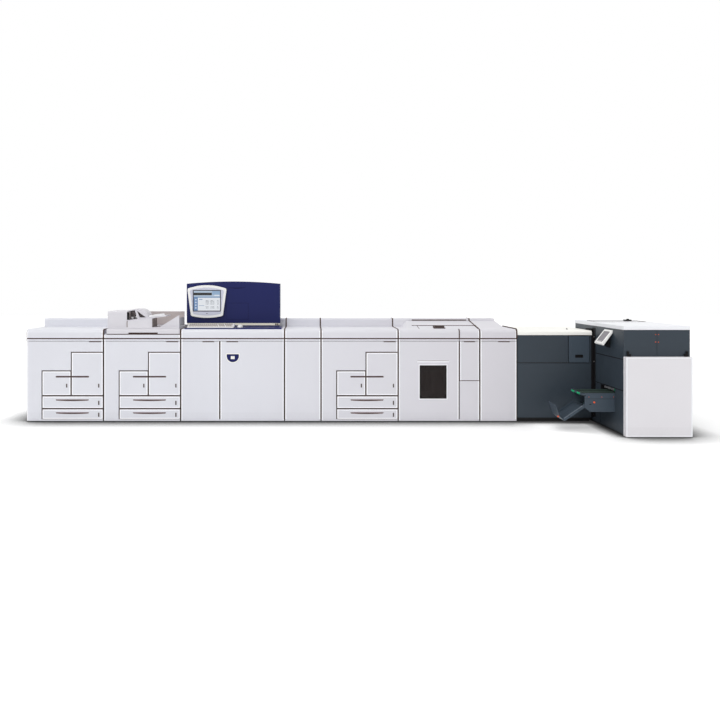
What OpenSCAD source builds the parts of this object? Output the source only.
// Sheet-fed digital production printer: a row of docked modules, in millimetres.
// +X runs along the line from the first feeder, +Y runs to the back, +Z is up.
// The origin is the middle of the whole line's footprint, on the floor.

/* [Module widths] */
// Width of each of the three sheet feeders
feeder_w = 835; // [800:5:1000]
// Width of the print engine
engine_w = 1125; // [1090:5:1400]
// Width of the plain bridge module
bridge_w = 395; // [250:5:600]
// Width of the stacker's main bay
stacker_w = 662; // [620:2:900]
// Width of the stacker's narrow bay
bay_w = 222; // [200:2:300]
// Width of the exit module
exit_w = 403; // [370:1:600]
// Width of the booklet line's infeed unit
infeed_w = 802; // [800:2:1000]
// Width of the booklet maker's body
booklet_w = 646; // [630:2:900]

/* [Row section] */
// Depth of the row from its front plane to its back
row_depth = 790; // [740:5:1000]
// Depth of the flat deck in front of the rear riser
deck_depth = 600; // [560:5:650]
// Height of the deck above the floor
deck_h = 1000; // [980:5:1100]
// Height of the rear riser above the deck
riser_h = 92; // [60:1:140]
// Radius of the deck's front edge
deck_r = 42; // [20:1:60]
// Radius of the riser's front edge
riser_r = 14; // [6:1:30]
// Height of the front cap band under the deck
cap_h = 96; // [90:1:110]
// Height of the fixed rail between the doors and the cap band
rail_band_h = 20; // [14:1:30]
// Height of the shadow groove under the cap band
groove_h = 10; // [6:1:14]
// Depth of the shadow groove
groove_d = 20; // [10:1:30]
// Width of the seam between neighbouring modules
seam = 8; // [6:1:12]

/* [Plinth] */
// Height of the plinth under every cabinet
plinth_h = 18; // [14:1:20]
// How far the plinth stands back from the cabinet's front and back
plinth_inset = 45; // [30:5:90]

/* [Doors and drawers] */
// Thickness of every door and drawer front
door_t = 22; // [18:1:26]
// Space between a closed door and the cabinet behind it
back_gap = 6; // [5:1:10]
// Space between neighbouring fronts
panel_gap = 8; // [7:1:10]
// Space above a closed door
top_gap = 5; // [5:1:8]
// Height of the lowest edge of the fronts
front_z0 = 27; // [26:1:40]
// Radius of the door hinge pins
pin_r = 5; // [3:0.5:6]
// Length of a door hinge pin inside its door
pin_len = 16; // [10:1:30]
// Running clearance at hinge pins and drawer rails
run_gap = 0.3; // [0.2:0.05:0.5]
// Height of a pull recess in a door's top edge
pull_h = 9; // [5:1:14]
// Depth of a pull recess
pull_d = 14; // [8:1:16]

/* [Feeder fronts] */
// Distance from the feeder's left edge to its drawers
drawer_x = 168; // [140:1:200]
// Distance from the feeder's left edge to the split between the upper drawers
split_x = 485; // [440:1:520]
// Height of the line above the bottom drawer
bottom_z = 141; // [130:1:160]
// Height of the line above the middle drawer
middle_z = 281; // [270:1:300]
// Height of the line above the left drawer
left_z = 552; // [500:1:620]
// Height of the line above the tall drawer
tall_z = 753; // [700:1:800]
// Depth of the drawer trays
tray_d = 560; // [520:5:620]
// Wall and floor thickness of the trays
tray_wall = 6; // [4:1:10]
// How far a tray stands in from the sides of its front
tray_inset = 14; // [12:1:20]
// Clearance between a tray and its pocket
tray_clear = 6; // [5:0.5:8]
// Height of the two rails under a tray
rail_h = 6; // [5.5:0.5:10]
// Width of a rail under a tray
rail_w = 12; // [8:1:20]
// Width of the long finger grips
grip_w = 358; // [250:2:400]
// Distance from the feeder's left edge to the middle of its grips
grip_x = 498; // [495:1:510]
// Height of the finger grips
grip_h = 12; // [8:1:16]
// Distance from a long drawer's top line to its grip
grip_drop = 49; // [40:1:60]
// Height of the grips that the two upper drawers share
pair_grip_z = 487; // [400:1:520]
// Width of the pull recess in a feeder door
feeder_pull_w = 131; // [80:1:160]

/* [Scanner] */
// Height of the scanner housing's underside
scanner_z = 951; // [945:1:960]
// Height of the scanner housing's top
platen_z = 1006; // [1000:1:1020]
// Depth of the scanner housing
scanner_d = 640; // [600:5:680]
// Width of the document feeder's pick-up housing
pickup_w = 208; // [190:1:230]
// Height of the pick-up housing above the platen
pickup_h = 187; // [150:1:200]
// Width of the box under the input tray
tray_box_w = 266; // [240:1:290]
// Height of the box under the input tray
tray_box_h = 80; // [70:1:100]
// Height of the rear wall behind the exit scoop
scoop_wall_h = 170; // [120:1:180]

/* [Print engine] */
// Width of the engine's left door, up to the door split
engine_split = 424; // [400:1:500]
// Depth of the recess behind the engine's doors
engine_recess = 110; // [40:5:200]
// Thickness of the worktop
worktop_t = 10; // [6:1:20]
// Depth of the worktop
worktop_d = 395; // [340:5:420]
// Width of the console tower
tower_w = 1060; // [900:2:1080]
// Height of the console tower at its sides
tower_h = 448; // [430:1:480]
// Rise of the console tower's arched top
tower_rise = 26; // [10:1:40]
// Depth of the console tower
tower_d = 175; // [120:5:190]
// Height of the ledge that the console tower stands on
ledge_h = 46; // [30:1:50]
// Distance from the front plane to the console tower
tower_y = 440; // [425:5:480]
// Width of the screen's bezel at its top
bezel_w = 440; // [400:2:480]
// Width of the screen's bezel at its bottom
bezel_low_w = 366; // [330:2:400]
// Height of the screen's bezel at its corners
bezel_h = 338; // [300:2:360]
// Thickness of the bezel
bezel_t = 34; // [20:1:50]

/* [Stacker] */
// Width of the window in the stacker's door
window_w = 294; // [240:2:340]
// Height of the window
window_h = 363; // [300:3:420]
// Height of the window's lower edge
window_z = 248; // [200:2:300]
// Thickness of the window pane
pane_t = 5; // [4:1:8]
// Height of the line between the narrow bay's two fronts
bay_split_z = 444; // [400:1:500]
// Thickness of the top lid
lid_t = 18; // [14:1:22]
// Length of the top lid from its front edge to its hinge
lid_len = 200; // [160:2:240]
// Distance from the stacker's left edge to the lid
lid_x = 240; // [220:2:300]

/* [Infeed unit] */
// Height of the infeed cabinet under its cover
infeed_h = 938; // [925:1:960]
// Height of the infeed cover
infeed_cover_h = 48; // [40:1:60]
// Height of the long groove across the infeed front
infeed_groove_z = 637; // [560:1:700]
// Distance from the infeed's left edge to its flap
flap_x = 556; // [520:1:600]
// Space between the infeed unit and the booklet maker
dock_gap = 26; // [14:1:40]

/* [Booklet maker] */
// Reach of the booklet maker's body in front of the row
booklet_front = 850; // [800:5:900]
// Length of the booklet maker's body
booklet_len = 1456; // [1420:2:1560]
// Height of the booklet maker's body
booklet_h = 1040; // [1030:1:1100]
// Thickness of the booklet maker's top cover
booklet_cover_h = 38; // [20:1:45]
// Depth of the white box on the front
front_box_d = 72; // [50:1:120]
// Height of the white box
front_box_h = 780; // [740:1:800]
// Width of the white box
front_box_w = 646; // [620:2:650]

/* [Delivery] */
// Length of the delivery conveyor outside the booklet maker
conveyor_len = 302; // [260:1:360]
// Width of the delivery conveyor
conveyor_w = 340; // [300:5:380]
// Distance from the front plane to the conveyor's near side
conveyor_y = -610; // [-640:5:-590]
// Height of the conveyor's belt surface
belt_z = 392; // [380:1:410]
// Number of delivery belts
belt_count = 2; // [1:1:3]
// Width of one delivery belt
belt_w = 92; // [60:2:96]
// Slope of the catch tray in degrees
catch_slope = 34; // [28:1:36]
// Length of the catch tray along its slope
catch_len = 240; // [200:2:250]
// Length of the catch tray's steep end fence
fence_h = 129; // [100:1:150]

/* [Hidden] */
$fn = 64;

// Places along the row
line_w = 3 * feeder_w + engine_w + bridge_w + stacker_w + bay_w + exit_w
    + infeed_w + dock_gap + booklet_w;
x_feeder_a = -line_w / 2;
x_feeder_b = x_feeder_a + feeder_w;
x_engine = x_feeder_b + feeder_w;
x_bridge = x_engine + engine_w;
x_feeder_c = x_bridge + bridge_w;
x_stacker = x_feeder_c + feeder_w;
x_exit = x_stacker + stacker_w + bay_w;
x_infeed = x_exit + exit_w;
x_booklet = x_infeed + infeed_w + dock_gap;
// The front plane of the row, with the footprint's middle at the origin
y_front = (booklet_front + front_box_d - row_depth) / 2;

// Derived heights of the fronts
cap_z = deck_h - cap_h;
rail_z = cap_z - groove_h - rail_band_h;
door_top = rail_z - top_gap;
half_gap = panel_gap / 2;
core_y = door_t + back_gap;
hinge_r = door_t / 2;
hinge_x = seam / 2 + hinge_r;
tab_h = 10;
recess_rim = 40;
eps = 0.01;

// The feeder's drawers: left, right, lowest and highest edge of each front
drawer_r = feeder_w - seam / 2 + half_gap;
TALL = [split_x, drawer_r, middle_z, tall_z];
LEFT = [drawer_x, split_x, middle_z, left_z];
MIDDLE = [drawer_x, drawer_r, bottom_z, middle_z];
BOTTOM = [drawer_x, drawer_r, front_z0 - half_gap, bottom_z];

pale = [0.88, 0.885, 0.925];
slate = [0.24, 0.29, 0.33];
cream = [0.92, 0.91, 0.87];
navy = [0.16, 0.19, 0.39];
dark = [0.12, 0.12, 0.13];
green = [0.12, 0.62, 0.43];

// A box from its low corner and its size
module slab(low, size) {
    translate(low) cube(size);
}

// A side profile of the row, drawn in depth and height, carried along the row
module along_x(x, width) {
    translate([x, 0, 0])
        rotate([90, 0, 90])
            linear_extrude(width) children();
}

// A front outline, drawn in width and height, carried to the back
module along_y(y, depth) {
    translate([0, y + depth, 0])
        rotate([90, 0, 0])
            linear_extrude(depth) children();
}

// A rectangle with its front top corner rounded
module round_front(depth, low, high, r) {
    translate([r, low]) square([depth - r, high - low]);
    translate([0, low]) square([2 * r, high - low - r]);
    translate([r, high - r]) circle(r);
}

// The cabinet block behind the fronts, from the plinth up to the cap
module core(width) {
    slab([0, core_y, plinth_h], [width, row_depth - core_y, cap_z - plinth_h + eps]);
}

// The fixed rail over the doors, in front of the core
module rail_band(x, width) {
    slab([x, 0, rail_z], [width, core_y + eps, rail_band_h]);
    slab([x, groove_d, rail_z], [width, core_y - groove_d + eps, rail_band_h + groove_h + eps]);
}

// The flat deck with its rounded front edge, and the riser at its back
module deck_cap(x, width) {
    along_x(x, width) round_front(row_depth, cap_z, deck_h, deck_r);
    along_x(x, width)
        translate([deck_depth, 0]) round_front(row_depth - deck_depth, cap_z, deck_h + riser_h, riser_r);
}

// A hinge pin with the tab under the door that carries it
module hinge_tab(x) {
    slab([x - hinge_r, 0, front_z0 - run_gap - tab_h], [door_t, core_y + eps, tab_h]);
    translate([x, hinge_r, front_z0 - run_gap - eps]) cylinder(h = pin_len, r = pin_r);
}

// The hinge pin that hangs from the rail over the door
module hinge_top(x, top) {
    translate([x, hinge_r, top - pin_len]) cylinder(h = pin_len + top_gap + eps, r = pin_r);
}

// The two bores in a door that its hinge pins turn in
module hinge_bores(x, low, top) {
    for (z = [low - eps, top - pin_len - run_gap])
        translate([x, hinge_r, z]) cylinder(h = pin_len + run_gap + eps, r = pin_r + run_gap);
}

// A door front: a plate with a round hinge edge; side is -1 for a left hinge, 1 for a right one
module door_plate(left, right, low, top, side) {
    hinge = side < 0 ? left + hinge_r : right - hinge_r;
    plate_l = side < 0 ? hinge : left;
    plate_r = side < 0 ? right : hinge;
    difference() {
        union() {
            slab([plate_l, 0, low], [plate_r - plate_l, door_t, top - low]);
            translate([hinge, hinge_r, low]) cylinder(h = top - low, r = hinge_r);
        }
        hinge_bores(hinge, low, top);
    }
}

// The finger recess in a door's top edge
module pull_recess(x, width, top) {
    slab([x, -eps, top - pull_h], [width, pull_d, pull_h + eps]);
}

// ---- Sheet feeders ----

// The pocket in the feeder cabinet that one tray slides in
module pocket(d) {
    low = d[2] + half_gap + tray_inset - rail_h - run_gap;
    left = d[0] + half_gap + tray_inset - tray_clear;
    right = d[1] - half_gap - tray_inset + tray_clear;
    difference() {
        slab([left, core_y - eps, low],
             [right - left, door_t + tray_d + tray_clear - core_y, d[3] - half_gap - tray_clear - low]);
        for (x = [left + 2 * rail_w, right - 3 * rail_w])
            slab([x, 0, low - eps], [rail_w, row_depth, rail_h + eps]);
    }
}

module feeder_core() {
    difference() {
        core(feeder_w);
        for (d = [TALL, LEFT, MIDDLE, BOTTOM]) pocket(d);
    }
    rail_band(seam / 2, feeder_w - seam);
    hinge_tab(hinge_x);
    hinge_top(hinge_x, door_top);
}

module feeder_cabinet(x) {
    color(pale) translate([x, y_front, 0]) {
        feeder_core();
        deck_cap(seam / 2, feeder_w - seam);
    }
}

// The door wraps over and beside the drawers, hinged at its left edge
module feeder_door(x) {
    right = feeder_w - seam / 2;
    color(pale) translate([x, y_front, 0]) difference() {
        door_plate(seam / 2, right, front_z0, door_top, -1);
        slab([drawer_x - half_gap, -eps, front_z0 - eps],
             [feeder_w, door_t + 2 * eps, left_z + half_gap - front_z0]);
        slab([split_x - half_gap, -eps, front_z0 - eps],
             [feeder_w, door_t + 2 * eps, tall_z + half_gap - front_z0]);
        pull_recess(right - door_t - feeder_pull_w, feeder_pull_w, door_top);
    }
}

// The open tray behind a drawer front
module tray(d) {
    left = d[0] + half_gap + tray_inset;
    width = d[1] - d[0] - panel_gap - 2 * tray_inset;
    low = d[2] + half_gap + tray_inset;
    height = d[3] - half_gap - 2 * tray_clear - low;
    difference() {
        slab([left, door_t - eps, low], [width, tray_d, height]);
        slab([left + tray_wall, door_t, low + tray_wall],
             [width - 2 * tray_wall, tray_d - 2 * tray_wall, height]);
    }
}

module drawer_front(d) {
    slab([d[0] + half_gap, 0, d[2] + half_gap], [d[1] - d[0] - panel_gap, door_t, d[3] - d[2] - panel_gap]);
}

// The bowed grip of the long drawers: a shallow circular segment
module bowed_grip(z) {
    r = (grip_w * grip_w / 4 + grip_h * grip_h) / (2 * grip_h);
    along_y(-eps, pull_d) intersection() {
        translate([grip_x, z - grip_h / 2 + r]) circle(r, $fn = 360);
        translate([grip_x - grip_w / 2, z - grip_h]) square([grip_w, 1.5 * grip_h]);
    }
}

// The straight grip that the two upper drawers share
module pair_grip() {
    slab([grip_x - grip_w / 2, -eps, pair_grip_z - grip_h / 2], [grip_w, pull_d, grip_h]);
}

module long_drawer(x, d) {
    color(pale) translate([x, y_front, 0]) {
        difference() {
            drawer_front(d);
            bowed_grip(d[3] - grip_drop);
        }
        tray(d);
    }
}

module upper_drawer(x, d) {
    color(pale) translate([x, y_front, 0]) {
        difference() {
            drawer_front(d);
            pair_grip();
        }
        tray(d);
    }
}

// ---- Scanner and document feeder on the second feeder ----
base_x = 33;
base_right = feeder_w - 11;
lid_left = 42;
lid_right = feeder_w - 19;
lid_axis_y = scanner_d - 18;
lid_base_t = 14;
lid_hinge_r = 9;
lid_z = platen_z + run_gap;
lid_front = 14;
ear_t = 8;
ear_pin = 32;
ear_inset = 30;
LID_EARS = [lid_left + ear_inset, lid_right - ear_inset - ear_pin - ear_t];
front_recess = [320, 14];
recess_x = 268;
pickup_x = 38;
pickup_y = 36;
pickup_end = pickup_x + pickup_w;
box_gap = 12;
box_end = pickup_end + box_gap + tray_box_w;
box_d = 276;
arch_left_r = 300;
arch_right_r = 110;
arch_rise = 27;
arch_t = 12;
crown_x = pickup_end + 114;
cover_w = 224;
cover_y = 90;
cover_d = 230;
end_t = 24;
cheek = [70, 105];
cheek_hole = [96, 126, 196];
ramp_x = 596;
ramp_end = lid_right - 4;
ramp_h = 146;
ramp_fin_t = 14;
ramp_fin_y = 52;
ramp_step = 38;
scoop_wall_t = 20;
scoop_wall_end = 786;
input_x = 668;
input_y = 40;
input_d = 310;
input_slope = 0.12;
input_edge = 12;

// Height of the input tray's underside at a distance along the scanner
function input_z(x) = tray_box_h + input_slope * (x - pickup_end);

module scanner_cabinet(x) {
    color(pale) translate([x, y_front, 0]) {
        feeder_core();
        along_x(seam / 2, feeder_w - seam) square_band();
    }
}

// The low cap that carries the scanner housing
module square_band() {
    translate([0, cap_z]) square([row_depth, scanner_z - cap_z - groove_h]);
    translate([groove_d, cap_z]) square([row_depth - groove_d, scanner_z - cap_z]);
    translate([scanner_d + seam, cap_z]) square([row_depth - scanner_d - seam, platen_z - cap_z]);
}

module scanner_base() {
    color(pale) translate([x_feeder_b, y_front, 0]) difference() {
        union() {
            along_x(base_x, base_right - base_x)
                round_front(scanner_d, scanner_z, platen_z, deck_r / 2);
            for (end = LID_EARS) lid_ear(end);
        }
        slab([recess_x, -eps, scanner_z - eps],
             [front_recess[0], deck_r / 2, front_recess[1]]);
    }
}

// One of the two ears with a pin that the document feeder turns on
module lid_ear(x) {
    slab([x, lid_axis_y - lid_hinge_r, platen_z - eps], [ear_t, 2 * lid_hinge_r, lid_base_t]);
    translate([x + (ear_t - ear_pin) / 2, lid_axis_y, lid_z + lid_hinge_r])
        rotate([0, 90, 0]) cylinder(h = ear_pin, r = pin_r - 1);
}

// The slots and bores that the lid's hinge ears pass through
module lid_ear_room(x) {
    slab([x - tray_clear, lid_axis_y - lid_hinge_r - tray_clear, platen_z - 1],
         [ear_t + 2 * tray_clear, scanner_d, lid_base_t + tray_clear + 1]);
    translate([x + (ear_t - ear_pin) / 2 - 1, lid_axis_y, lid_z + lid_hinge_r])
        rotate([0, 90, 0]) cylinder(h = ear_pin + 2, r = pin_r - 1 + run_gap);
}

module document_feeder() {
    width = lid_right - lid_left;
    color(pale) translate([x_feeder_b, y_front, lid_z]) {
        translate([0, 0, -lid_z]) difference() {
            union() {
                // The platen lid, with a round rear edge on the hinge line
                slab([lid_left, lid_front, lid_z], [width, lid_axis_y - lid_front, lid_base_t]);
                translate([lid_left, lid_axis_y, lid_z + lid_hinge_r])
                    rotate([0, 90, 0]) cylinder(h = width, r = lid_hinge_r);
            }
            for (end = LID_EARS) lid_ear_room(end);
        }
        // Pick-up housing, the box under the input tray, the arched cover and the tray
        along_x(pickup_x, pickup_w) pickup_profile(pickup_y, lid_axis_y - 2 * pickup_y);
        along_y(lid_front, box_d) polygon([
            [pickup_end + box_gap, lid_base_t - eps], [box_end, lid_base_t - eps],
            [box_end, input_z(box_end) + eps], [pickup_end + box_gap, input_z(pickup_end + box_gap) + eps]
        ]);
        arched_cover(cover_y, cover_d);
        input_tray(input_y, input_d);
        exit_scoop(ramp_fin_y);
    }
}

module pickup_profile(y, depth) {
    translate([y, 0]) round_front(depth, lid_base_t - eps, pickup_h, 16);
}

// Everything under the arch: a long flat arc at the left, a tight one at the right
module arch_face(inset) {
    crown = pickup_h + arch_rise;
    intersection() {
        translate([crown_x, crown - arch_left_r]) circle(arch_left_r - inset, $fn = 180);
        translate([pickup_end - 2 * eps, 0]) square([crown_x - pickup_end + 3 * eps, crown]);
    }
    intersection() {
        translate([crown_x, crown - arch_right_r]) circle(arch_right_r - inset);
        translate([crown_x, 0]) square([arch_right_r, crown]);
    }
}

// The clear arch over the sheet path, with a cheek plate at its front and its back
module arched_cover(y, depth) {
    crown = pickup_h + arch_rise;
    over = input_z(pickup_end + cover_w) + input_edge / 2;
    along_y(y, depth) intersection() {
        difference() {
            arch_face(0);
            arch_face(arch_t);
        }
        translate([pickup_end - eps, over]) square([cover_w, crown]);
    }
    for (end_y = [y, y + depth - end_t]) along_y(end_y, end_t) difference() {
        intersection() {
            arch_face(arch_t / 2);
            translate([pickup_end, 0]) polygon([
                [cheek[0], crown], [cheek[1], input_z(pickup_end + cheek[1])],
                [cover_w, input_z(pickup_end + cover_w)], [cover_w, crown]
            ]);
        }
        translate([pickup_end, 0]) polygon([
            [cheek_hole[0], pickup_h + arch_t / 2], [cheek_hole[1], over + arch_t / 2],
            [cheek_hole[2], over + arch_t / 2]
        ]);
    }
}

// The sloping tray that originals are laid on
module input_tray(y, depth) {
    along_y(y, depth) polygon([
        [pickup_end - eps, input_z(pickup_end)], [input_x, input_z(input_x)],
        [input_x, input_z(input_x) + input_edge], [pickup_end - eps, input_z(pickup_end) + input_edge]
    ]);
}

// The exit scoop: a ramp with a triangular lip in front and a wall behind
module exit_scoop(y) {
    wall_y = lid_axis_y - scoop_wall_t - 2 * lid_hinge_r;
    along_y(y, ramp_fin_t) polygon([
        [ramp_x, lid_base_t - eps], [ramp_end, lid_base_t - eps], [ramp_end, ramp_h]
    ]);
    along_y(y + ramp_fin_t - eps, wall_y - y - ramp_fin_t + 2 * eps) polygon([
        [ramp_x + ramp_step, lid_base_t - eps],
        [scoop_wall_end, lid_base_t - eps],
        [scoop_wall_end, ramp_h - ramp_step]
    ]);
    slab([pickup_end - eps, wall_y, lid_base_t - eps],
         [scoop_wall_end - pickup_end, scoop_wall_t, scoop_wall_h - lid_base_t]);
}

// ---- Print engine ----
module engine_cabinet() {
    color(pale) translate([x_engine, y_front, 0]) {
        difference() {
            core(engine_w);
            slab([recess_rim, core_y - eps, front_z0 + recess_rim],
                 [engine_w - 2 * recess_rim, engine_recess, door_top - front_z0 - 2 * recess_rim]);
        }
        rail_band(seam / 2, engine_w - seam);
        deck_cap(seam / 2, engine_w - seam);
        for (x = [hinge_x, engine_w - hinge_x]) {
            hinge_tab(x);
            hinge_top(x, door_top);
        }
    }
}

// Width of the finger recesses in the doors, and their places from each door's edge
door_pull_w = 128;
left_pull_x = 56;
right_pull_x = 67;
exit_pull_x = 77;
bay_pull_w = 120;

module engine_left_door() {
    color(pale) translate([x_engine, y_front, 0]) difference() {
        door_plate(seam / 2, engine_split - half_gap, front_z0, door_top, -1);
        pull_recess(engine_split - half_gap - left_pull_x - door_pull_w, door_pull_w, door_top);
    }
}

module engine_right_door() {
    color(pale) translate([x_engine, y_front, 0]) difference() {
        door_plate(engine_split + half_gap, engine_w - seam / 2, front_z0, door_top, 1);
        pull_recess(engine_split + half_gap + right_pull_x, door_pull_w, door_top);
    }
}

worktop_x = 36;
worktop_y = 36;
keys = [512, 190];
keys_x = worktop_x + 21;
keys_y = worktop_y + 24;
keys_front = 18;
keys_back = 46;
mouse_w = 66;
mouse_h = 38;

module worktop() {
    color(navy) translate([x_engine, y_front, deck_h]) {
        along_x(worktop_x, engine_w - 2 * worktop_x)
            translate([worktop_y, 0]) round_front(worktop_d, 0, worktop_t, worktop_t / 3);
    }
}

// The keyboard rises to the back, and the mouse lies beside it
module keyboard_and_mouse() {
    color(cream) translate([x_engine, y_front, deck_h + worktop_t]) {
        along_x(keys_x, keys[0]) polygon([
            [keys_y, 0], [keys_y + keys[1], 0], [keys_y + keys[1], keys_back], [keys_y, keys_front]
        ]);
        translate([keys_x + keys[0] + mouse_w, keys_y + mouse_w, 0]) mouse(mouse_w, mouse_h);
    }
}

// A low rounded mouse: an upright oval of two arcs, cut by a larger arc on top
module mouse(width, height) {
    top_r = 1.7 * width;
    intersection() {
        linear_extrude(height) intersection_for(side = [-1, 1])
            translate([side * 0.25 * width, 0]) circle(0.75 * width);
        translate([0, width, height - top_r]) rotate([90, 0, 0]) cylinder(h = 2 * width, r = top_r);
    }
}

module console_tower() {
    arch = (tower_w * tower_w / 4 + tower_rise * tower_rise) / (2 * tower_rise);
    left = 0;
    ledge_inset = 10;
    ledge_step = 8;
    color(navy) translate([x_engine, y_front, deck_h]) {
        slab([left + ledge_inset, tower_y - ledge_step, 0],
             [tower_w - 2 * ledge_inset, deck_depth - tower_y + ledge_step, ledge_h + eps]);
        along_y(tower_y, min(tower_d, deck_depth - tower_y)) tower_outline(left, arch);
        along_y(tower_y, tower_d) intersection() {
            tower_outline(left, arch);
            translate([left, riser_h + 2 * riser_r]) square([tower_w, tower_h + tower_rise]);
        }
    }
}

// The tower's front: straight sides under one long arc
module tower_outline(left, arch) {
    intersection() {
        translate([left, ledge_h]) square([tower_w, tower_h + tower_rise]);
        translate([left + tower_w / 2, ledge_h + tower_h + tower_rise - arch]) circle(arch, $fn = 360);
    }
}

screen_w = 316;
screen_h = 241;
screen_lift = 73;
screen_sink = 5;

// The white bezel: sides that lean in towards the bottom, under an arched top
module console_screen() {
    arch_rise = 32;
    centre = 233;
    low = 62;
    low_rise = 18;
    corner = 24;
    half = bezel_w / 2 - corner;
    half_low = bezel_low_w / 2 - corner;
    arch = (half * half + arch_rise * arch_rise) / (2 * arch_rise);
    low_arch = (half_low * half_low + low_rise * low_rise) / (2 * low_rise);
    color("white") translate([x_engine + centre, y_front, deck_h + ledge_h + low]) {
        difference() {
            along_y(tower_y - bezel_t, bezel_t) hull() {
                for (side = [-1, 1]) {
                    translate([side * half_low, low_rise + corner]) circle(corner, $fn = 32);
                    translate([side * half, bezel_h - corner]) circle(corner, $fn = 32);
                }
                intersection() {
                    translate([-half, bezel_h - corner]) square([2 * half, arch_rise + corner]);
                    translate([0, bezel_h + arch_rise - arch]) circle(arch, $fn = 180);
                }
                // The bottom bows down between its corners
                intersection() {
                    translate([-half_low, 0]) square([2 * half_low, low_rise + corner]);
                    translate([0, low_arch]) circle(low_arch, $fn = 180);
                }
            }
            slab([-screen_w / 2, tower_y - bezel_t - eps, screen_lift], [screen_w, screen_sink, screen_h]);
        }
    }
}

// ---- Bridge ----
module bridge_cabinet() {
    color(pale) translate([x_bridge, y_front, 0]) {
        core(bridge_w);
        rail_band(seam / 2, bridge_w - seam);
        deck_cap(seam / 2, bridge_w - seam);
        slab([seam / 2, 0, front_z0], [bridge_w - seam, core_y + eps, door_top - front_z0]);
    }
}

// ---- Stacker ----
slope_rise = 0.74 * riser_h;
slope_run = deck_depth - deck_r;
slope = atan(slope_rise / slope_run);
wedge_x = 90;
lid_gap = 6;
lid_w = stacker_w + bay_w - 12 - lid_x;
lid_hinge_y = deck_r + 2 * lid_gap + lid_len;
lid_hinge_z = deck_h + (lid_hinge_y - deck_r) * tan(slope) - lid_t / 2 / cos(slope);

// The sloping top behind the rounded front edge
module slope_profile() {
    round_front(row_depth, cap_z, deck_h, deck_r);
    polygon([
        [deck_r, deck_h - eps], [deck_depth + riser_r, deck_h - eps],
        [deck_depth + riser_r, deck_h + slope_rise], [deck_depth, deck_h + slope_rise]
    ]);
    translate([deck_depth, 0]) round_front(row_depth - deck_depth, cap_z, deck_h + riser_h, riser_r);
}

// The stacker's lid in its own plane: y runs up the slope to the hinge line
module on_slope() {
    translate([0, lid_hinge_y, lid_hinge_z]) rotate([slope, 0, 0]) children();
}

module stacker_cabinet() {
    width = stacker_w + bay_w;
    color(pale) translate([x_stacker, y_front, 0]) {
        difference() {
            core(width);
            slab([recess_rim, core_y - eps, front_z0 + recess_rim],
                 [stacker_w - 2 * recess_rim, 3 * engine_recess, door_top - front_z0 - 2 * recess_rim]);
        }
        rail_band(seam / 2, stacker_w - seam);
        // The narrow bay has one plain band from its door to the deck
        slab([stacker_w + seam / 2, 0, rail_z], [bay_w - seam, core_y + eps, cap_z - rail_z + eps]);
        stacker_top(width);
        slab([stacker_w + seam / 2, 0, front_z0],
             [bay_w - seam, core_y + eps, bay_split_z - half_gap - front_z0]);
        hinge_tab(hinge_x);
        hinge_top(hinge_x, door_top);
        hinge_top(stacker_w + bay_w - hinge_x, door_top);
        translate([stacker_w + bay_w - hinge_x, hinge_r, bay_split_z - half_gap - eps])
            cylinder(h = pin_len + panel_gap, r = pin_r);
    }
}

module stacker_top(width) {
    difference() {
        union() {
            deck_cap(seam / 2, wedge_x);
            along_x(wedge_x, width - wedge_x - seam / 2) slope_profile();
        }
        // The slanted left face of the wedge
        translate([wedge_x, 0, deck_h]) rotate([0, 45, 0])
            slab([-riser_h, -eps, 0], [riser_h, deck_depth + eps, 2 * riser_h]);
        // The seam over the narrow bay, across the rounded front edge
        slab([stacker_w - seam / 2, -eps, cap_z - eps], [seam, deck_r + lid_gap, cap_h + riser_h]);
        // The bed that the lid lies in
        on_slope() slab([lid_x - lid_gap, -lid_len - lid_gap, -lid_t / 2 - lid_gap],
                        [lid_w + 2 * lid_gap, lid_len + hinge_r + 2 * lid_gap, 3 * lid_t]);
        // The shadow groove along the foot of the riser
        slab([wedge_x + riser_h, deck_depth - riser_r, deck_h + riser_h / 2],
             [width - wedge_x - 2 * riser_h, riser_r / 2, riser_h]);
    }
    on_slope() for (x = [lid_x - lid_gap - eps, lid_x + lid_w - pin_len])
        translate([x, 0, 0]) rotate([0, 90, 0]) cylinder(h = pin_len + lid_gap + 2 * eps, r = pin_r - 1);
}

module stacker_lid() {
    grip = [126, 86, 7];
    color(pale) translate([x_stacker, y_front, 0]) on_slope() difference() {
        union() {
            slab([lid_x, -lid_len, -lid_t / 2], [lid_w, lid_len, lid_t]);
            translate([lid_x, 0, 0]) rotate([0, 90, 0]) cylinder(h = lid_w, r = lid_t / 2);
        }
        translate([lid_x + lid_w / 4, door_t - lid_len, lid_t / 2 - grip[2]]) difference() {
            cube([grip[0], grip[1], lid_t]);
            slab([grip[0] / 5, grip[1] / 4, -eps], [grip[0], grip[1] / 2, lid_t]);
        }
        for (x = [lid_x - eps, lid_x + lid_w - pin_len - run_gap])
            translate([x, 0, 0]) rotate([0, 90, 0])
                cylinder(h = pin_len + run_gap + 2 * eps, r = pin_r - 1 + run_gap);
    }
}

window_x = 232;
pane_rim = 10;
window_lip = [26, 32, 6];

module stacker_door() {
    color(pale) translate([x_stacker, y_front, 0]) difference() {
        door_plate(seam / 2, stacker_w - seam / 2, front_z0, door_top, -1);
        slab([window_x, -eps, window_z], [window_w, door_t + 2 * eps, window_h]);
        slab([window_x - pane_rim, door_t - pane_t, window_z - pane_rim],
             [window_w + 2 * pane_rim, pane_t + eps, window_h + 2 * pane_rim]);
        // The shallow lip over the window
        slab([window_x - window_lip[0], -eps, window_z + window_h + window_lip[1]],
             [window_w + 2 * window_lip[0], window_lip[2], window_lip[2]]);
    }
}

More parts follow.
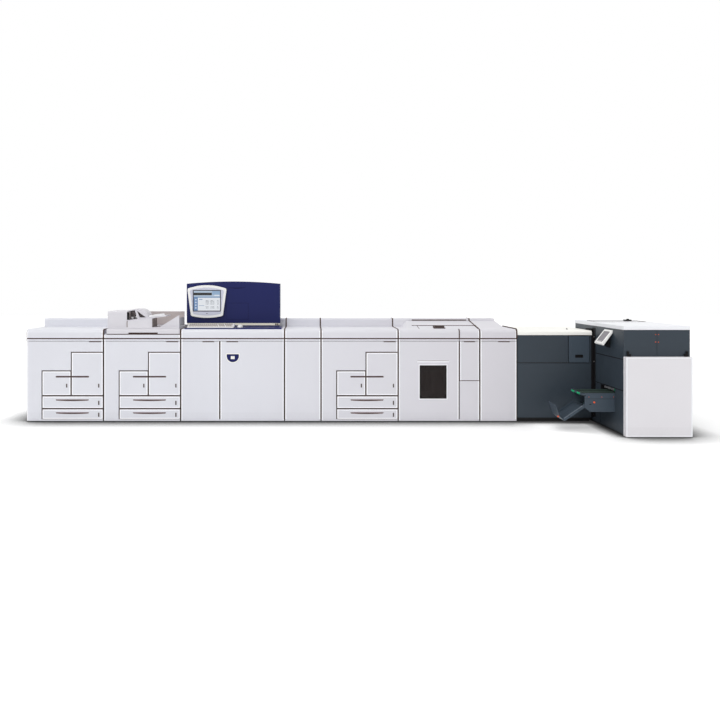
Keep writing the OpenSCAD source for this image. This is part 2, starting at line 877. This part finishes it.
module stacker_window() {
    color([0.2, 0.17, 0.16, 0.6]) translate([x_stacker, y_front, 0])
        slab([window_x - pane_rim, door_t - pane_t, window_z - pane_rim],
             [window_w + 2 * pane_rim, pane_t, window_h + 2 * pane_rim]);
}

module bay_door() {
    color(pale) translate([x_stacker + stacker_w, y_front, 0]) difference() {
        door_plate(seam / 2, bay_w - seam / 2, bay_split_z + half_gap, door_top, 1);
        pull_recess((bay_w - bay_pull_w) / 2, bay_pull_w, door_top);
    }
}

// ---- Exit module ----
module exit_cabinet() {
    end_w = 110;
    color(pale) translate([x_exit, y_front, 0]) {
        core(exit_w);
        rail_band(seam / 2, exit_w - seam);
        hinge_tab(hinge_x);
        hinge_top(hinge_x, door_top);
        // The sloping panel and the riser end short of a flat strip of deck
        along_x(seam / 2, exit_w - seam - end_w) slope_profile();
        along_x(exit_w - seam / 2 - end_w - eps, end_w + eps)
            round_front(row_depth, cap_z, deck_h, deck_r);
    }
}

module exit_door() {
    color(pale) translate([x_exit, y_front, 0]) difference() {
        door_plate(seam / 2, exit_w - seam / 2, front_z0, door_top, -1);
        pull_recess(exit_w - exit_pull_x - door_pull_w, door_pull_w, door_top);
    }
}

// ---- Infeed unit of the booklet line ----
infeed_low = 45;
flap_edge = 14;
flap_low = infeed_groove_z + half_gap;
flap_top = infeed_h - 10;
flap_left = flap_x + half_gap;
flap_right = infeed_w - flap_edge - half_gap;

module infeed_cabinet() {
    left = seam / 2;
    color(slate) translate([x_infeed, y_front, 0]) {
        slab([0, core_y, plinth_h], [infeed_w, row_depth - core_y, infeed_h - plinth_h]);
        difference() {
            slab([left, 0, infeed_low], [infeed_w - left, core_y + eps, infeed_h - infeed_low]);
            // The opening that the flap closes
            slab([flap_left - panel_gap, -eps, flap_low - panel_gap],
                 [flap_right - flap_left + 2 * panel_gap, core_y, infeed_h]);
            // The long groove under the upper panels
            slab([0, -eps, flap_low - panel_gap], [flap_x, groove_d / 2, panel_gap]);
        }
        // Hinge pins from both sides of the opening
        for (x = [flap_x - half_gap - eps, flap_right - pin_len])
            translate([x, hinge_r, flap_top - hinge_r]) rotate([0, 90, 0])
                cylinder(h = pin_len + panel_gap + eps, r = pin_r);
        // The docking frame towards the booklet maker
        slab([infeed_w - eps, row_depth / 4, row_depth / 3], [dock_gap + eps, row_depth / 2, row_depth / 2]);
    }
}

// The flap swings up on its round top edge
module infeed_flap() {
    grip = [85, 25];
    color(slate) translate([x_infeed, y_front, 0]) difference() {
        union() {
            slab([flap_left, 0, flap_low], [flap_right - flap_left, door_t, flap_top - hinge_r - flap_low]);
            translate([flap_left, hinge_r, flap_top - hinge_r]) rotate([0, 90, 0])
                cylinder(h = flap_right - flap_left, r = hinge_r);
        }
        slab([(flap_left + flap_right - grip[0]) / 2, -eps, flap_low + 56], [grip[0], pull_d, grip[1]]);
        for (x = [flap_left - eps, flap_right - pin_len - run_gap])
            translate([x, hinge_r, flap_top - hinge_r]) rotate([0, 90, 0])
                cylinder(h = pin_len + run_gap + 2 * eps, r = pin_r + run_gap);
    }
}

module infeed_cover() {
    lip = 6;
    color(cream) translate([x_infeed, y_front, 0])
        along_x(seam / 2, infeed_w - seam / 2 + lip)
            translate([-lip, 0])
                round_front(row_depth, infeed_h, infeed_h + infeed_cover_h, infeed_cover_h / 2);
}

// ---- Booklet maker, standing across the end of the line ----
opening_y = -620;
opening_w = 400;
opening_drop = 32;
opening_rise = 44;
opening_d = 150;
body_z = 747;
low_seam_z = 440;
seam_t = 5;

module booklet_cabinet() {
    color(slate) translate([x_booklet, y_front - booklet_front, 0]) difference() {
        slab([0, 0, plinth_h], [booklet_w, booklet_len, booklet_h - plinth_h]);
        // Shadow seams along the left side
        for (z = [body_z, low_seam_z]) slab([-eps, -eps, z], [seam_t, booklet_len + 2 * eps, seam_t]);
        // The seam between the two upper front panels
        slab([booklet_w / 2 - seam_t / 2, -eps, front_box_h], [seam_t, seam_t, booklet_h]);
        // The mouth that delivers finished booklets
        slab([-eps, opening_y + booklet_front, belt_z - opening_drop],
             [opening_d, opening_w, opening_drop + opening_rise]);
    }
}

module booklet_cover() {
    color("white") translate([x_booklet - 6, y_front - booklet_front - 6, booklet_h])
        cube([booklet_w + 6, booklet_len + 12, booklet_cover_h]);
}

module front_box() {
    front_box_x = -6;
    front_box_z = 6;
    color([0.87, 0.865, 0.88])
        translate([x_booklet + front_box_x, y_front - booklet_front - front_box_d, front_box_z])
            cube([front_box_w, front_box_d, front_box_h - front_box_z]);
}

// The tilted operator panel on the booklet maker's left side
module control_panel() {
    panel = [26, 223];
    panel_y = -563;
    reach = 112;
    drop = 142;
    top_z = 1022;
    bracket_h = 148;
    edge = [18, 14];
    color("white") translate([x_booklet, y_front + panel_y, 0]) {
        along_y(0, panel[1]) polygon([
            [0, top_z], [0, top_z - panel[0]],
            [-reach + edge[0], top_z - drop - edge[1]], [-reach, top_z - drop]
        ]);
        along_y(panel[1] / 3, panel[1] / 2) polygon([
            [0, top_z - panel[0] + eps],
            [0, top_z - panel[0] - bracket_h],
            [-reach / 2, top_z - drop / 2 - panel[0]]
        ]);
    }
}

// ---- Delivery conveyor and catch tray ----
plate_t = 6;
roller_r = 11;
belt_t = 2;
nose_reach = 30;
nose_x = -conveyor_len - nose_reach;
inner_x = 100;
plate_low = 201;
roller_z = belt_z - belt_t - roller_r;
bed_z = roller_z + roller_r / 2;
side_rise = 4;
nose_drop = 6;
arm_h = 16;
notch = [56, 44];
sheet_t = 5;
catch_lip_h = 26;
toe_angle = 139;
toe_len = 65;
fence_angle = 111;
fence_w = 230;

module conveyor_frame() {
    color(slate) translate([x_booklet, y_front + conveyor_y, 0]) {
        for (y = [0, conveyor_w - plate_t]) along_y(y, plate_t) polygon([
            [0, plate_low], [0, bed_z + side_rise],
            [nose_x, bed_z + side_rise], [nose_x, roller_z - nose_drop],
            [-conveyor_len, roller_z - arm_h],
            [-conveyor_len, plate_low + notch[1]],
            [-conveyor_len + notch[0], plate_low]
        ]);
        // Inner arms that carry the far roller inside the mouth
        for (y = [0, conveyor_w - plate_t])
            slab([-eps, y, roller_z - arm_h / 2], [inner_x + roller_r, plate_t, arm_h]);
        // The belly plate and the bed under the belts' upper run
        slab([-conveyor_len + notch[0], plate_t - eps, plate_low + notch[1]],
             [conveyor_len - notch[0], conveyor_w - 2 * plate_t + 2 * eps, plate_t]);
        slab([nose_x + 3 * roller_r, plate_t - eps, roller_z],
             [inner_x - nose_x - 5 * roller_r, conveyor_w - 2 * plate_t + 2 * eps, roller_r - run_gap]);
        for (x = [nose_x + side_rise, inner_x]) translate([x, plate_t - eps, roller_z])
            rotate([-90, 0, 0]) cylinder(h = conveyor_w - 2 * plate_t + 2 * eps, r = roller_r);
    }
}

// One belt is a closed loop round both rollers
module belt_loop() {
    difference() {
        loop_outline(roller_r + belt_t);
        loop_outline(roller_r + eps);
    }
}

module loop_outline(r) {
    start = nose_x + side_rise;
    for (x = [start, inner_x]) translate([x, roller_z]) circle(r);
    translate([start, roller_z - r]) square([inner_x - start, 2 * r]);
}

module conveyor_belts() {
    pitch = (conveyor_w - 2 * plate_t) / belt_count;
    color(green) translate([x_booklet, y_front + conveyor_y, 0])
        for (i = [0 : belt_count - 1])
            along_y(plate_t + pitch * (i + 0.5) - belt_w / 2, belt_w) belt_loop();
}

// A sheet-metal strip from the current point, with round ends, drawn at an angle
module strip(angle, length) {
    rotate(angle) translate([0, -sheet_t / 2]) square([length, sheet_t]);
    circle(sheet_t / 2);
    rotate(angle) translate([length, 0]) circle(sheet_t / 2);
}

// The bed and the fence, which bends up in two steps at the low end
module catch_outline() {
    bed_angle = 180 + catch_slope;
    strip(bed_angle, catch_len);
    translate([catch_len * cos(bed_angle), catch_len * sin(bed_angle)]) {
        strip(toe_angle, toe_len);
        translate([toe_len * cos(toe_angle), toe_len * sin(toe_angle)]) strip(fence_angle, fence_h);
    }
}

// The rest of the bed, beside the fence
module bed_strip() {
    rotate(180 + catch_slope) translate([0, -sheet_t / 2]) square([catch_len, sheet_t]);
}

// A side lip with the tab that lies on the inner face of the conveyor's side plate
module catch_lip() {
    rotate(180 + catch_slope) translate([0, -catch_lip_h]) square([catch_len, catch_lip_h]);
    translate([-catch_lip_h / 2, sheet_t]) square([notch[0], catch_lip_h + sheet_t]);
}

module catch_tray() {
    color(slate) translate([x_booklet - conveyor_len, y_front + conveyor_y, plate_low + notch[1]]) {
        along_y(plate_t, fence_w) catch_outline();
        along_y(plate_t + fence_w - eps, conveyor_w - 2 * plate_t - fence_w + eps) bed_strip();
        for (y = [plate_t, conveyor_w - plate_t - sheet_t]) along_y(y, sheet_t) catch_lip();
    }
}

// ---- Plinths under every cabinet ----
module plinth(x, y, width, depth) {
    slab([x + seam / 2, y, 0], [width - seam, depth, plinth_h]);
}

module plinths() {
    row_plinths = [
        [x_feeder_a, feeder_w], [x_feeder_b, feeder_w], [x_engine, engine_w], [x_bridge, bridge_w],
        [x_feeder_c, feeder_w], [x_stacker, stacker_w + bay_w], [x_exit, exit_w], [x_infeed, infeed_w]
    ];
    color(dark) {
        for (p = row_plinths)
            plinth(p[0], y_front + plinth_inset, p[1], row_depth - 2 * plinth_inset);
        plinth(x_booklet, y_front - booklet_front, booklet_w, booklet_len - plinth_inset);
    }
}

plinths();

feeder_cabinet(x_feeder_a);  // feeder_a_cabinet
feeder_door(x_feeder_a);  // feeder_a_door
upper_drawer(x_feeder_a, TALL);  // feeder_a_tall_drawer
upper_drawer(x_feeder_a, LEFT);  // feeder_a_left_drawer
long_drawer(x_feeder_a, MIDDLE);  // feeder_a_middle_drawer
long_drawer(x_feeder_a, BOTTOM);  // feeder_a_bottom_drawer

scanner_cabinet(x_feeder_b);  // feeder_b_cabinet
feeder_door(x_feeder_b);  // feeder_b_door
upper_drawer(x_feeder_b, TALL);  // feeder_b_tall_drawer
upper_drawer(x_feeder_b, LEFT);  // feeder_b_left_drawer
long_drawer(x_feeder_b, MIDDLE);  // feeder_b_middle_drawer
long_drawer(x_feeder_b, BOTTOM);  // feeder_b_bottom_drawer

feeder_cabinet(x_feeder_c);  // feeder_c_cabinet
feeder_door(x_feeder_c);  // feeder_c_door
upper_drawer(x_feeder_c, TALL);  // feeder_c_tall_drawer
upper_drawer(x_feeder_c, LEFT);  // feeder_c_left_drawer
long_drawer(x_feeder_c, MIDDLE);  // feeder_c_middle_drawer
long_drawer(x_feeder_c, BOTTOM);  // feeder_c_bottom_drawer

scanner_base();
document_feeder();
engine_cabinet();
engine_left_door();
engine_right_door();
worktop();
console_tower();
console_screen();
keyboard_and_mouse();
bridge_cabinet();
stacker_cabinet();
stacker_door();
stacker_window();
bay_door();
stacker_lid();
exit_cabinet();
exit_door();
infeed_cabinet();
infeed_cover();
infeed_flap();
booklet_cabinet();
booklet_cover();
front_box();
control_panel();
conveyor_frame();
conveyor_belts();
catch_tray();
